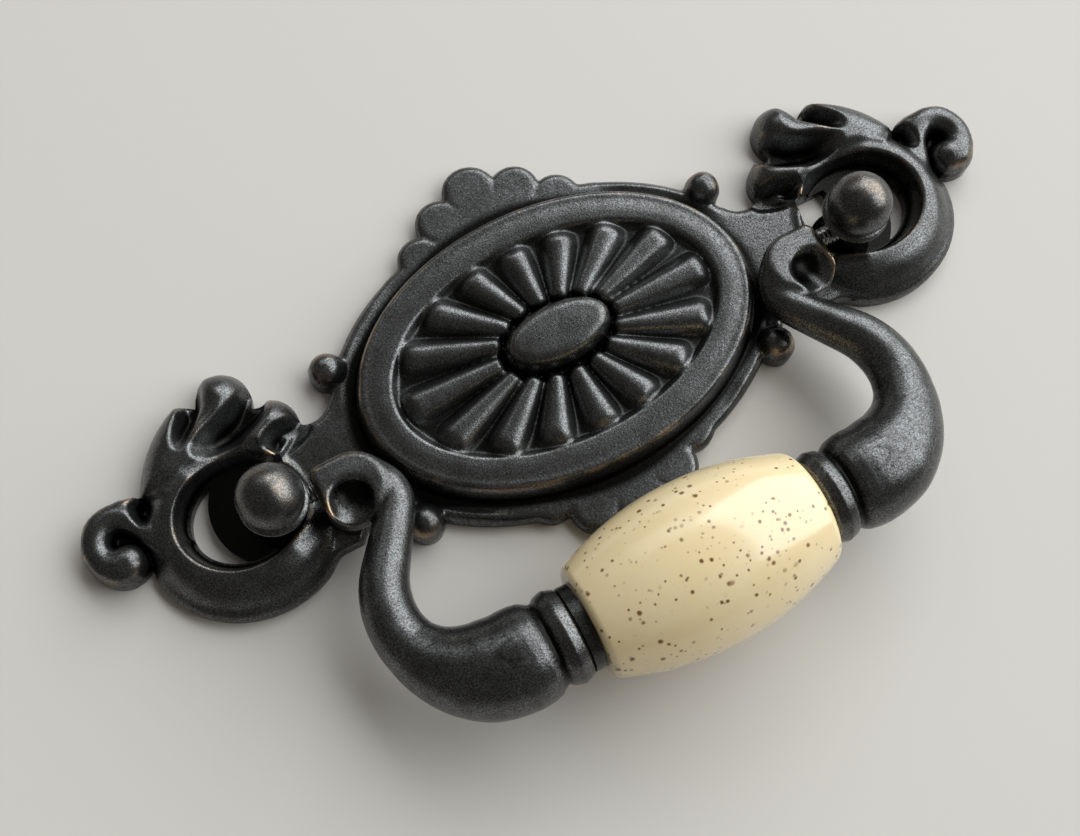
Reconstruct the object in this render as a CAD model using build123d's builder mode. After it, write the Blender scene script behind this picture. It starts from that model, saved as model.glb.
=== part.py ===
from build123d import *
from math import asin, atan2, cos, degrees, hypot, radians, sin
import os

# Drop bail pull: a cast backplate, two ball-headed posts, and a cast bail that carries a ceramic bead.
# Millimetres. X runs along the plate, Y up the drawer front and Z out of it.
# The origin lies on the plate's back, midway between the two screw holes.

# Fixing to the drawer front
screw_spacing = 76.0
screw_hole_radius = 1.65
screw_hole_depth = 4.0

# Flat body of the plate
plate_thickness = 2.2
oval_height = 3.8
ledge_at_ends = 3.5
ledge_at_sides = 2.7
crest_lobes = ((0.0, 22.9, 3.5), (5.2, 20.8, 3.1), (9.4, 17.5, 3.0), (13.2, 14.6, 2.6))
crest_bed_radius = 8.0
crest_bed_reach = 14.4
lower_crest_drop = 1.3
finial_radius = 2.2
finial_turns = (28.5, -36.3)
finial_overhang = 0.9
neck_start = 18.0
neck_end = 36.0
neck_upper_edge = 10.4
neck_lower_edge = -7.0
valley_radius = 3.2
valley_lift = 1.6
upper_valley_gap = 1.4
lower_valley_gap = -0.3

# Medallion on the oval
rim_half_length = 25.1
rim_half_width = 17.0
rim_band = 4.0
rim_height = 6.0
rim_round = 1.3
field_edge_height = 4.3
field_crown_height = 5.6
boss_half_length = 6.7
boss_half_width = 3.65
boss_height = 8.2
boss_round = 1.5
petal_count = 16
petal_reach_length = 20.5
petal_reach_width = 12.9
petal_root_length = 8.0
petal_root_width = 4.5
petal_tip_radius = 2.45
petal_root_radius = 0.95
petal_tip_round = 1.4
petal_root_round = 0.5
hollow_wall = 1.5
hollow_draft = 20.0

# Scroll at each end of the plate
scroll_center = (42.0, 2.2)
ridge_half_length = 7.5
ridge_half_width = 6.6
scroll_band = 4.3
scroll_belly = 1.1
scroll_bed = 2.4
scroll_ridge_height = 5.0
scroll_ridge_land = 0.5
scroll_edge_height = 0.9
scroll_swell = 0.8
scroll_wall_draft = 1.0
scroll_start = -160.0
scroll_sweep = 310.0
scroll_spans = 12
scroll_end_scale = 0.45
scroll_taper_share = 0.13
floor_thickness = 1.6
floor_disc_radius = 7.4
floor_disc_offset = (0.4, 2.3)
window_offset = (-0.5, 4.0)
window_width = 4.6
window_length = 5.4
window_round = 0.8
seat_radius = 3.7

# Leaf on top of the scroll: its outline, then base and tip of each lobe with its radii
leaf_inner_foot = (32.0, 8.3)
leaf_inner_side = (31.6, 11.5)
leaf_inner_tip = (33.8, 13.7)
leaf_inner_hollow = (34.9, 13.4)
leaf_inner_valley = (35.8, 13.7)
leaf_middle_side = (35.6, 17.4)
leaf_middle_tip = (39.5, 19.4)
leaf_middle_back = (40.9, 18.2)
leaf_outer_valley = (41.7, 16.6)
leaf_outer_side = (42.7, 17.3)
leaf_outer_tip = (44.0, 17.8)
leaf_outer_back = (48.9, 14.2)
leaf_outer_foot = (51.8, 9.4)
lobe_round = 0.75
leaf_lobes = (
    ((47.8, 10.2, 1.9), 2.7, (44.3, 16.1, 2.7), 1.2),
    ((42.9, 10.7, 1.9), 2.3, (38.9, 16.8, 3.0), 2.3),
    ((38.6, 10.4, 1.9), 1.6, (34.0, 12.0, 2.6), 1.5),
)

# Curl that ends the scroll
curl_center = (55.5, 5.4)
curl_reach = 5.0
curl_start = 196.0
curl_sweep = 312.0
curl_spans = 10
curl_start_radius = 1.7
curl_end_radius = 2.2
curl_tightening = 0.5
curl_axis_height = 2.3
curl_floor_thickness = 1.3

# Ball-headed posts
ball_radius = 3.8
ball_center_height = 12.0
lip_radius = 3.95
lip_height = 9.5
lip_thickness = 0.8
neck_radius = 2.4
flange_thickness = 1.0
spigot_radius = 2.9
spigot_clearance = 0.05

# Pivot pins
pivot_height = 6.0
pin_radius = 1.2
pin_in_post = 3.6
pin_in_arm = 3.2
pin_chamfer = 0.2
pin_running_clearance = 0.05
pin_end_clearance = 0.2
pin_press_clearance = 0.01

# Bail, drawn in its own plane, which tilts up from the pivots to the bead
bail_drop = 28.3
arm_face = 33.4
knuckle_middle = 29.4
knuckle_top = 2.0
knuckle_foot = -6.2
knuckle_foot_round = 3.0
knuckle_top_round = 1.4
knuckle_depth = 4.8
knuckle_round = 1.2
eye_center = (30.4, -4.2)
eye_radius = 2.2
eye_depth = 1.6
crook_radius = 3.8
crook_center = (29.4, -4.3)
crook_end = 70.0
bend_radius = 10.2
bend_across = 22.0
arm_radii = (5.8, 5.6, 4.9, 4.1, 3.45, 3.15, 3.0, 2.8, 2.6, 2.4, 2.15, 1.95, 1.85, 1.8)
shoulder_start = 18.5
shoulder_radius = 4.7
shoulder_crown = 19.7
shoulder_crown_radius = 5.5
collar_face = 15.1
collar_radius = 5.5
collar_edge_radius = 4.5

# Rod and bead
rod_radius = 2.0
rod_in_arm = 6.5
rod_press_clearance = 0.01
bead_radius = 9.6
bead_end_radius = 6.5
bead_length = 28.6
bead_shift = 0.5
bead_running_clearance = 0.08
bead_edge_round = 0.7

# Places that follow from those sizes
post_x = screw_spacing / 2
oval_half_length = rim_half_length + ledge_at_ends
oval_half_width = rim_half_width + ledge_at_sides
upper_valley = (oval_half_length + upper_valley_gap, neck_upper_edge + valley_lift)
lower_valley = (oval_half_length + lower_valley_gap, neck_lower_edge - valley_lift)
finial_ring = (oval_half_length + finial_overhang, oval_half_width + finial_overhang)
pin_tip = post_x - neck_radius + pin_in_post
bail_tilt = asin((bead_radius - pivot_height) / bail_drop)
bail_plane = Plane((0, 0, pivot_height), x_dir=(1, 0, 0), z_dir=(0, sin(bail_tilt), cos(bail_tilt)))
bead_axis = Axis(bail_plane.from_local_coords(Vector(0, -bail_drop, 0)), (1, 0, 0))
bend_center = (bend_across, bend_radius - bail_drop)
arc_gap = hypot(crook_center[0] - bend_center[0], crook_center[1] - bend_center[1])
climb = degrees(
    atan2(crook_center[1] - bend_center[1], crook_center[0] - bend_center[0])
    + asin((bend_radius + crook_radius) / arc_gap)
)
eye_sphere = (eye_radius**2 + eye_depth**2) / (2 * eye_depth)


def ridge(start, start_radius, end, end_radius, start_round, end_round):
    """A straight round ridge that swells from its start to its end, with both ends rounded."""
    along = Vector(*end) - Vector(*start)
    with BuildPart() as solid:
        with BuildSketch(Plane(start, x_dir=along, z_dir=along.cross(Vector(0, 0, 1)))):
            with BuildLine():
                Polyline(
                    (-start_radius, 0),
                    (-start_radius, start_radius),
                    (along.length + end_radius, end_radius),
                    (along.length + end_radius, 0),
                    close=True,
                )
            make_face()
            outer_corners = vertices().filter_by(lambda corner: corner.Y > 0).sort_by(Axis.X)
            fillet(outer_corners[0], start_round)
            outer_corners = vertices().filter_by(lambda corner: corner.Y > 0).sort_by(Axis.X)
            fillet(outer_corners[-1], end_round)
        revolve(axis=Axis(start, along))
    return solid.part


# Petals fan out from the boss, their tips evenly spaced round an oval
with BuildLine(Plane.XY.offset(field_edge_height)) as tip_line:
    EllipticalCenterArc(
        (0, oval_height),
        petal_reach_length - petal_tip_radius,
        petal_reach_width - petal_tip_radius,
        arc_size=360,
    )
with BuildLine(Plane.XY.offset(field_crown_height)) as root_line:
    EllipticalCenterArc((0, oval_height), petal_root_length, petal_root_width, arc_size=360)
petals = []
for index in range(petal_count):
    share = index / petal_count
    tip = tip_line.edge().position_at(share)
    root = root_line.edge().position_at(share)
    petals.append(ridge(root, petal_root_radius, tip, petal_tip_radius, petal_root_round, petal_tip_round))

# Lobes of the right-hand leaf
lobes = []
for base, base_radius, tip, tip_radius in leaf_lobes:
    lobes.append(
        ridge(base, base_radius, tip, tip_radius, lobe_round * base_radius, lobe_round * tip_radius)
    )

# Right-hand scroll: a band with its ridge along the inner edge, tapering to both ends
with BuildPart() as scroll_band_solid:
    for span in range(scroll_spans + 1):
        share = span / scroll_spans
        turn = radians(scroll_start + share * scroll_sweep)
        fade = min(1, min(share, 1 - share) / scroll_taper_share)
        size = scroll_end_scale + (1 - scroll_end_scale) * fade
        foot = (
            scroll_center[0] + ridge_half_length * cos(turn),
            scroll_center[1] + ridge_half_width * sin(turn),
        )
        outward = Vector(ridge_half_width * cos(turn), ridge_half_length * sin(turn))
        crest = scroll_ridge_height * size
        width = scroll_band * size + scroll_belly * max(0, -sin(turn))
        with BuildSketch(Plane(foot, x_dir=outward, z_dir=outward.cross(Vector(0, 0, 1)))):
            with BuildLine():
                Polyline(
                    (width, scroll_edge_height),
                    (width, 0),
                    (-scroll_wall_draft, 0),
                    (0, crest),
                    (scroll_ridge_land, crest),
                )
                ThreePointArc(
                    (scroll_ridge_land, crest),
                    (
                        (scroll_ridge_land + width) / 2 + scroll_swell / 2,
                        (crest + scroll_edge_height) / 2 + scroll_swell / 2,
                    ),
                    (width, scroll_edge_height),
                )
            make_face()
    loft()

# Right-hand curl: a tube that swells as it winds in
with BuildPart() as curl:
    for span in range(curl_spans + 1):
        share = span / curl_spans
        turn = radians(curl_start - share * curl_sweep)
        tube = curl_start_radius + (curl_end_radius - curl_start_radius) * share
        arm = curl_reach - tube - curl_tightening * share**2
        middle = Vector(
            curl_center[0] + arm * cos(turn), curl_center[1] + arm * sin(turn), curl_axis_height
        )
        with BuildSketch(Plane(middle, z_dir=(sin(turn), -cos(turn), 0))):
            Circle(tube)
    loft()
    with Locations(middle):
        Sphere(curl_end_radius)

# Medallion: a rounded rim round a field that rises to its middle, and the boss
with BuildPart() as medallion:
    with BuildSketch():
        with Locations((0, oval_height)):
            Ellipse(rim_half_length, rim_half_width)
            Ellipse(rim_half_length - rim_band, rim_half_width - rim_band, mode=Mode.SUBTRACT)
    extrude(amount=rim_height)
    fillet(faces().sort_by(Axis.Z)[-1].edges(), rim_round)
    with BuildSketch():
        with Locations((0, oval_height)):
            Ellipse(rim_half_length - rim_band, rim_half_width - rim_band)
    extrude(amount=field_edge_height)
    with BuildSketch(Plane.XY.offset(field_edge_height)):
        with Locations((0, oval_height)):
            Ellipse(petal_reach_length, petal_reach_width)
    with BuildSketch(Plane.XY.offset(field_crown_height)):
        with Locations((0, oval_height)):
            Ellipse(petal_root_length, petal_root_width)
    loft()
with BuildPart() as boss:
    with BuildSketch(Plane.XY.offset(field_edge_height)):
        with Locations((0, oval_height)):
            Ellipse(boss_half_length, boss_half_width)
    extrude(amount=boss_height - field_edge_height)
    fillet(faces().sort_by(Axis.Z)[-1].edges(), boss_round)

# Backplate: one casting with a flat back, hollowed behind the medallion
with BuildPart() as backplate:
    with BuildSketch():
        with Locations((0, oval_height)):
            Ellipse(oval_half_length, oval_half_width)
        for side, drop in ((1, 0), (-1, lower_crest_drop)):
            with Locations((0, oval_height + side * (crest_bed_reach - drop))):
                Circle(crest_bed_radius)
            for across, reach, radius in crest_lobes:
                height = oval_height + side * (reach - drop)
                with Locations((across, height), (-across, height)):
                    Circle(radius)
        with BuildLine():
            Polyline(
                (neck_start, neck_lower_edge),
                (neck_end, neck_lower_edge),
                (neck_end, neck_upper_edge),
                (neck_start, neck_upper_edge),
                close=True,
            )
        make_face()
        with Locations(upper_valley, lower_valley):
            Circle(valley_radius, mode=Mode.SUBTRACT)
        with BuildLine():
            ThreePointArc(leaf_inner_foot, leaf_inner_side, leaf_inner_tip)
            ThreePointArc(leaf_inner_tip, leaf_inner_hollow, leaf_inner_valley)
            ThreePointArc(leaf_inner_valley, leaf_middle_side, leaf_middle_tip)
            ThreePointArc(leaf_middle_tip, leaf_middle_back, leaf_outer_valley)
            ThreePointArc(leaf_outer_valley, leaf_outer_side, leaf_outer_tip)
            ThreePointArc(leaf_outer_tip, leaf_outer_back, leaf_outer_foot)
            Polyline(leaf_outer_foot, scroll_center, leaf_inner_foot)
        make_face()
        with Locations(scroll_center):
            Ellipse(ridge_half_length + scroll_bed, ridge_half_width + scroll_bed)
        mirror(about=Plane.YZ)
    extrude(amount=plate_thickness)
    # Opening of each scroll with its low floor, and the floor of each curl
    with BuildSketch():
        with Locations(scroll_center):
            Ellipse(ridge_half_length, ridge_half_width)
        mirror(about=Plane.YZ)
    extrude(amount=plate_thickness, mode=Mode.SUBTRACT)
    with BuildSketch():
        with Locations(scroll_center):
            Ellipse(ridge_half_length + scroll_wall_draft, ridge_half_width + scroll_wall_draft)
        mirror(about=Plane.YZ)
    extrude(amount=floor_thickness)
    with BuildSketch():
        with Locations(curl_center):
            Circle(curl_reach - curl_start_radius)
        mirror(about=Plane.YZ)
    extrude(amount=curl_floor_thickness)
    # Relief: scrolls, curls, leaves and finials at the ends, medallion in the middle
    for ornament in (scroll_band_solid.part, curl.part, *lobes):
        add(ornament)
        mirror(ornament, about=Plane.YZ)
    for turn in finial_turns:
        across = finial_ring[0] * cos(radians(turn))
        height = oval_height + finial_ring[1] * sin(radians(turn))
        with Locations((across, height, finial_radius), (-across, height, finial_radius)):
            Sphere(finial_radius)
    add(medallion.part)
    add(petals)
    add(boss.part)
    split(bisect_by=Plane.XY, keep=Keep.TOP)
    # Each floor is pierced by a crescent on its outer side and a window next to the neck
    with BuildSketch():
        with Locations(scroll_center):
            Ellipse(ridge_half_length - scroll_wall_draft, ridge_half_width - scroll_wall_draft)
        with Locations((post_x + floor_disc_offset[0], floor_disc_offset[1])):
            Circle(floor_disc_radius, mode=Mode.SUBTRACT)
        mirror(about=Plane.YZ)
    extrude(amount=floor_thickness, mode=Mode.SUBTRACT)
    with BuildSketch():
        with Locations((post_x + window_offset[0], window_offset[1])):
            RectangleRounded(window_width, window_length, window_round)
        with Locations((post_x, 0)):
            Circle(seat_radius, mode=Mode.SUBTRACT)
        mirror(about=Plane.YZ)
    extrude(amount=floor_thickness, mode=Mode.SUBTRACT)
    # Spigot hole and spot-faced seat of each post
    with Locations((post_x, 0, 0), (-post_x, 0, 0)):
        Hole(spigot_radius + spigot_clearance)
    with BuildSketch(Plane.XY.offset(floor_thickness)):
        with Locations((post_x, 0), (-post_x, 0)):
            Circle(seat_radius + spigot_clearance)
    extrude(amount=flange_thickness, mode=Mode.SUBTRACT)
    # Hollow behind the medallion
    with BuildSketch():
        with Locations((0, oval_height)):
            Ellipse(rim_half_length - rim_band, rim_half_width - rim_band)
    extrude(amount=field_edge_height - hollow_wall, taper=hollow_draft, mode=Mode.SUBTRACT)
backplate.part.label = "backplate"

# Posts: a spigot through the plate's floor, a flange that seats on it, a neck and the ball with its lip
with BuildPart() as right_post:
    with BuildSketch(Plane((post_x, 0, 0), x_dir=(1, 0, 0), z_dir=(0, -1, 0))):
        with BuildLine():
            Polyline(
                (0, ball_center_height),
                (0, 0),
                (spigot_radius, 0),
                (spigot_radius, floor_thickness),
                (seat_radius, floor_thickness),
                (neck_radius, floor_thickness + flange_thickness),
                (neck_radius, lip_height - lip_thickness),
                (lip_radius, lip_height),
                (lip_radius, lip_height + lip_thickness / 2),
                (neck_radius, ball_center_height),
                close=True,
            )
        make_face()
    revolve(axis=Axis((post_x, 0, 0), (0, 0, 1)))
    with Locations((post_x, 0, ball_center_height)):
        Sphere(ball_radius)
    with BuildSketch(Plane((post_x, 0, 0))):
        Circle(screw_hole_radius)
    extrude(amount=screw_hole_depth, mode=Mode.SUBTRACT)
    with BuildSketch(Plane((pin_tip + pin_end_clearance, 0, pivot_height), z_dir=(-1, 0, 0))):
        Circle(pin_radius + pin_running_clearance)
    extrude(amount=pin_in_post + lip_radius, mode=Mode.SUBTRACT)
right_post.part.label = "right_post"
with BuildPart() as left_post:
    mirror(right_post.part, about=Plane.YZ)
left_post.part.label = "left_post"

# Pivot pins: pressed into the bail, running in the posts
with BuildPart() as right_pivot_pin:
    with BuildSketch(Plane((arm_face - pin_in_arm, 0, pivot_height), z_dir=(1, 0, 0))):
        Circle(pin_radius)
    extrude(amount=pin_tip - arm_face + pin_in_arm)
    chamfer(edges().filter_by(GeomType.CIRCLE), pin_chamfer)
right_pivot_pin.part.label = "right_pivot_pin"
with BuildPart() as left_pivot_pin:
    mirror(right_pivot_pin.part, about=Plane.YZ)
left_pivot_pin.part.label = "left_pivot_pin"

# Bail arms: a tube that thins as it climbs from the bead and hooks over into the knuckle at the pivot
with BuildLine(bail_plane) as arm_line:
    bend = CenterArc(bend_center, bend_radius, -90, climb)
    crook = CenterArc(crook_center, crook_radius, climb + 90, crook_end - climb - 90)
    Line(bend @ 1, crook @ 0)
with BuildPart() as knuckle:
    with BuildSketch(bail_plane.offset(-knuckle_depth / 2)):
        with BuildLine():
            Polyline(
                (knuckle_middle, knuckle_top),
                (arm_face, knuckle_top),
                (arm_face, knuckle_foot),
                (knuckle_middle, knuckle_foot),
            )
            ThreePointArc(
                (knuckle_middle, knuckle_foot),
                (knuckle_middle - (knuckle_top - knuckle_foot) / 2, (knuckle_top + knuckle_foot) / 2),
                (knuckle_middle, knuckle_top),
            )
        make_face()
        fillet(vertices().group_by(Axis.X)[-1].sort_by(Axis.Y)[0], knuckle_foot_round)
        fillet(vertices().group_by(Axis.X)[-1].sort_by(Axis.Y)[-1], knuckle_top_round)
    extrude(amount=knuckle_depth)
    fillet(faces().filter_by(bail_plane).edges(), knuckle_round)
with BuildPart() as right_arm:
    for index, radius in enumerate(arm_radii):
        share = index / (len(arm_radii) - 1)
        place = arm_line.wire() @ share
        heading = arm_line.wire() % share
        with BuildSketch(Plane(place, x_dir=bail_plane.z_dir, z_dir=heading)):
            Circle(radius)
    loft()
    with BuildSketch(bail_plane):
        with BuildLine():
            Polyline(
                (bend_center[0], arm_radii[0] - bail_drop),
                (bend_center[0], -bail_drop),
                (collar_face, -bail_drop),
                (collar_face, collar_edge_radius - bail_drop),
            )
            ThreePointArc(
                (collar_face, collar_edge_radius - bail_drop),
                ((collar_face + shoulder_start) / 2, collar_radius - bail_drop),
                (shoulder_start, shoulder_radius - bail_drop),
            )
            ThreePointArc(
                (shoulder_start, shoulder_radius - bail_drop),
                (shoulder_crown, shoulder_crown_radius - bail_drop),
                (bend_center[0], arm_radii[0] - bail_drop),
            )
        make_face()
    revolve(axis=bead_axis)
    add(knuckle.part)
    # Eye of the hook, then the sockets for the pivot pin and the rod
    eye_lift = knuckle_depth / 2 + eye_sphere - eye_depth
    with Locations(bail_plane.from_local_coords(Vector(*eye_center, eye_lift))):
        Sphere(eye_sphere, mode=Mode.SUBTRACT)
    with BuildSketch(Plane((arm_face, 0, pivot_height), z_dir=(-1, 0, 0))):
        Circle(pin_radius + pin_press_clearance)
    extrude(amount=pin_in_arm, mode=Mode.SUBTRACT)
    with BuildSketch(Plane(bead_axis.position + Vector(collar_face, 0, 0), z_dir=(1, 0, 0))):
        Circle(rod_radius + rod_press_clearance)
    extrude(amount=rod_in_arm, mode=Mode.SUBTRACT)
right_arm.part.label = "right_arm"
with BuildPart() as left_arm:
    mirror(right_arm.part, about=Plane.YZ)
left_arm.part.label = "left_arm"

# Rod through the bead, pressed into both arms
with BuildPart() as bead_rod:
    with BuildSketch(Plane(bead_axis.position, z_dir=(1, 0, 0))):
        Circle(rod_radius)
    extrude(amount=collar_face + rod_in_arm, both=True)
bead_rod.part.label = "bead_rod"

# Barrel-shaped ceramic bead, free to turn on the rod
with BuildPart() as ceramic_bead:
    with BuildSketch(bail_plane):
        with BuildLine():
            Polyline(
                (bead_shift - bead_length / 2, bead_end_radius - bail_drop),
                (bead_shift - bead_length / 2, rod_radius + bead_running_clearance - bail_drop),
                (bead_shift + bead_length / 2, rod_radius + bead_running_clearance - bail_drop),
                (bead_shift + bead_length / 2, bead_end_radius - bail_drop),
            )
            ThreePointArc(
                (bead_shift + bead_length / 2, bead_end_radius - bail_drop),
                (bead_shift, bead_radius - bail_drop),
                (bead_shift - bead_length / 2, bead_end_radius - bail_drop),
            )
        make_face()
        fillet(vertices().filter_by(lambda corner: corner.Y > rod_radius * 2 - bail_drop), bead_edge_round)
    revolve(axis=bead_axis)
ceramic_bead.part.label = "ceramic_bead"

os.makedirs("parts", exist_ok=True)
export_step(backplate.part, "parts/backplate.step")
export_step(left_post.part, "parts/left_post.step")
export_step(right_post.part, "parts/right_post.step")
export_step(left_pivot_pin.part, "parts/left_pivot_pin.step")
export_step(right_pivot_pin.part, "parts/right_pivot_pin.step")
export_step(left_arm.part, "parts/left_arm.step")
export_step(right_arm.part, "parts/right_arm.step")
export_step(bead_rod.part, "parts/bead_rod.step")
export_step(ceramic_bead.part, "parts/ceramic_bead.step")
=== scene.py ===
import bmesh
import bpy
import numpy as np
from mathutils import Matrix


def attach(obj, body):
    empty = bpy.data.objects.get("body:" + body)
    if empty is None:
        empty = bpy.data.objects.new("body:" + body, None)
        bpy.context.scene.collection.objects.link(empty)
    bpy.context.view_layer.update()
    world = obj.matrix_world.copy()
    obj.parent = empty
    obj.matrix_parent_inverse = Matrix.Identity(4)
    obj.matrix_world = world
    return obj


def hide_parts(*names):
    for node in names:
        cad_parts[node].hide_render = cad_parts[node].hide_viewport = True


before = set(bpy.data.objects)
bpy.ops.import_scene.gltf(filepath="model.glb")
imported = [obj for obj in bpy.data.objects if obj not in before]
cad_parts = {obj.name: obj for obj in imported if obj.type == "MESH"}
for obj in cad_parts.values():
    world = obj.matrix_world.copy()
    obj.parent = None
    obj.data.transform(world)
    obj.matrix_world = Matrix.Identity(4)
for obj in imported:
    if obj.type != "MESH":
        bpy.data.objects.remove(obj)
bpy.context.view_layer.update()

import openvdb
from mathutils import Matrix, Vector
from mathutils.geometry import delaunay_2d_cdt

# Backplate: one zinc casting, flat behind, with a petalled medallion, scrolls, leaves and curls in relief.
# It was plated almost black and then rubbed, so that warm metal shows on its edges and high spots.
# It is drawn as one height over the plate's face, for the right half, and mirrored. Sizes are in mm.
MM = 0.001
grid_step = 0.21
grid_reach = 61.4
grid_span = (-21.8, 31.6)
far_below = -9.0
tight_fillet = 0.4
fillet = 0.5
wide_fillet = 0.6

plate_thickness = 2.2
plate_edge_round = 0.9
wall_slope = 9
oval_height = 3.8
oval_center = (0, oval_height)
oval_half = (28.6, 19.7)
# Crest lobes as (across, reach from the oval's middle, radius)
crest_lobes = ((0.0, 22.9, 3.5), (5.2, 20.8, 3.1), (9.4, 17.5, 3.0), (13.2, 14.6, 2.6), (0.0, 14.4, 8.0))
lower_crest_drop = 1.3
finials = ((25.95, 13.6), (23.8, -8.4))
finial_radius = 2.2
neck_box = (18.0, 36.0, -7.0, 10.4)
valleys = ((30.0, 12.0), (28.3, -8.6))
valley_radius = 3.2
# Thin roll along the oval's edge: where it starts and ends across, and how far in from the outline it may lie
roll_height = 0.3
roll_inset = 0.9
roll_width = 0.5
roll_ends = (14.5, 27)
roll_fade = 3
roll_margin = 2.2
roll_margin_fade = 0.8

# Medallion: steps of the rim as (start, end, drop), petals as (root, tip) values
rim_half = (25.1, 17.0)
rim_height = 6.0
rim_edge_round = 0.8
rim_lip_height = 0.12
rim_lip_inset = 0.75
rim_lip_width = 0.35
rim_cant = 0.3
rim_cant_width = 3.0
rim_dish = (2.0, 4.4, 0.1)
rim_wall = (4.2, 4.8, 1.2)
rim_skirt = 1.5
field_heights = (4.3, 4.7)
field_reach = 1.1
field_inset = 1
petal_count = 16
petal_reach = (20.9, 13.2)
petal_root = (7.2, 4.1)
petal_half_widths = (1.25, 3.05)
petal_heights = (6.3, 6.5)
petal_tip_round = 2.6
petal_root_round = 0.6
petal_side_power = 2.8
petal_tip_power = 2.4
petal_root_power = 2.2
petal_flank_drop = 0.5
petal_flank_share = 0.8
boss_half = (6.7, 3.65)
boss_height = 8.2
boss_edge_round = 1.5
boss_crown = 0.12
back_hollow_half = (21.1, 13.0)
back_hollow_depth = 2.8
back_hollow_draft = 1.0
back_hollow_sides = 120

post_x = 38.0
spigot_hole_radius = 2.95
seat_radius = 3.7
window_middle = (37.5, 4.0)
window_half = (2.3, 2.7)
# Scroll: stations round its middle as (direction in degrees, crest height, band width)
scroll_center = (42.0, 2.2)
scroll_half = (7.5, 6.6)
scroll_stations = (
    (-172, 2.0, 1.2), (-158, 2.6, 2.4), (-140, 3.9, 3.8), (-115, 5.0, 4.4),
    (62, 5.0, 4.4), (100, 3.5, 1.5), (150, 2.5, 1.3), (188, 2.0, 1.2),
)
scroll_belly = 1.1
scroll_flat = 0.5
scroll_edge_height = 0.9
scroll_ledge = 1.2
floor_height = 1.6
floor_disc = (38.4, 2.3, 7.4)
# The curl from its foot on the scroll round to its bulb: points as (across, up, radius)
curl_center = (55.5, 5.4)
curl_floor_radius = 3.4
curl_floor_height = 1.2
curl_level_radius = 5.0
curl_axis_height = 2.3
curl_line = (
    (50.6, 2.0, 1.9), (51.9, 4.6, 1.8), (53.2, 7.1, 1.7), (55.2, 8.65, 1.75), (57.4, 8.15, 1.8),
    (58.5, 6.2, 1.8), (58.1, 4.1, 1.95), (56.9, 3.0, 2.25), (55.9, 3.0, 2.3),
)
curl_shoulder = ((52.8, 9.2, 0.9), (54.1, 9.05, 1.35), (55.2, 8.7, 1.7))
leaf_arcs = (
    ((32.0, 8.3), (31.6, 11.5), (33.8, 13.7)),
    ((33.8, 13.7), (34.9, 13.4), (35.8, 13.7)),
    ((35.8, 13.7), (35.6, 17.4), (39.5, 19.4)),
    ((39.5, 19.4), (40.9, 18.2), (41.7, 16.6)),
    ((41.7, 16.6), (42.7, 17.3), (44.0, 17.8)),
    ((44.0, 17.8), (48.9, 14.2), (51.8, 9.4)),
)
leaf_swell = 4.3
leaf_edge_round = 3.8
leaf_margin = 0.2
leaf_slope = 6
leaf_foot_inset = 0.3
leaf_foot_height = 3.4
leaf_fillet = 0.7
# Hollows carved between the lobes: points along each as (across, up, depth, half width)
leaf_hollows = (
    (
        (41.3, 17.8, 2.2, 1.3), (42.4, 16.1, 3.0, 1.55), (43.4, 14.7, 3.0, 1.55), (44.3, 13.5, 2.0, 1.3),
        (44.9, 12.7, 0.6, 1.0),
    ),
    (
        (34.7, 14.6, 2.2, 1.7), (36.4, 12.9, 3.2, 2.5), (38.6, 11.8, 3.7, 2.6), (40.9, 11.2, 3.2, 2.2),
        (42.8, 11.0, 1.4, 1.5),
    ),
    ((52.2, 8.7, 1.6, 1.1), (52.2, 7.6, 2.2, 1.2), (52.3, 6.5, 1.2, 0.9)),
    ((31.7, 8.7, 1.8, 1.6), (33.3, 8.4, 2.7, 1.8), (35.0, 8.0, 2.3, 1.6), (36.3, 7.7, 0.8, 1.0)),
)
leaf_hollow_power = 1.6
leaf_hollow_inset = 0.5
leaf_hollow_fade = 0.8
leaf_hollow_floor = 1.4


def ellipse_depth(x, y, center, half):
    """Depth inside an ellipse: the distance to its edge to first order, positive inside."""
    u = (x - center[0]) / half[0]
    v = (y - center[1]) / half[1]
    reach = np.hypot(u, v)
    return reach * (1 - reach) / (np.hypot(u / half[0], v / half[1]) + 1e-9)


def disc_depth(x, y, center, radius):
    """Depth inside a circle, positive inside."""
    return radius - np.hypot(x - center[0], y - center[1])


def soft_max(a, b, blend):
    """The larger of two values, with the crease between them filled by a fillet as wide as blend."""
    near = np.clip(1 - np.abs(a - b) / blend, 0, 1)
    return np.maximum(a, b) + near * near * blend / 4


def edge_drop(depth, radius):
    """How far a rounded edge lies below its flat top; past the edge a steep wall falls away."""
    rest = 1 - np.clip(depth / radius, 0, 1)
    return radius * (1 - np.sqrt(1 - rest * rest)) + np.clip(-depth, 0, None) * wall_slope


def smooth_path(points, count):
    """Points spaced along a Catmull-Rom curve through the given rows."""
    rows = np.array(points, float)
    rows = np.vstack([2 * rows[0] - rows[1], rows, 2 * rows[-1] - rows[-2]])
    place = np.linspace(0, len(rows) - 3 - 1e-9, count)
    k = place.astype(int)
    t = (place - k)[:, None]
    a, b, c, d = rows[k], rows[k + 1], rows[k + 2], rows[k + 3]
    return 0.5 * (2 * b + (c - a) * t + (2 * a - 5 * b + 4 * c - d) * t**2 + (3 * b - a - 3 * c + d) * t**3)


def hollow_field(x, y, path):
    """Depth of a soft-edged hollow: the deepest of the dimples strung along its path."""
    carved = np.zeros(x.shape)
    for across, up, depth, width in path:
        rest = np.clip(1 - ((x - across) ** 2 + (y - up) ** 2) / width**2, 0, 1)
        carved = np.maximum(carved, depth * rest**leaf_hollow_power)
    return carved


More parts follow.
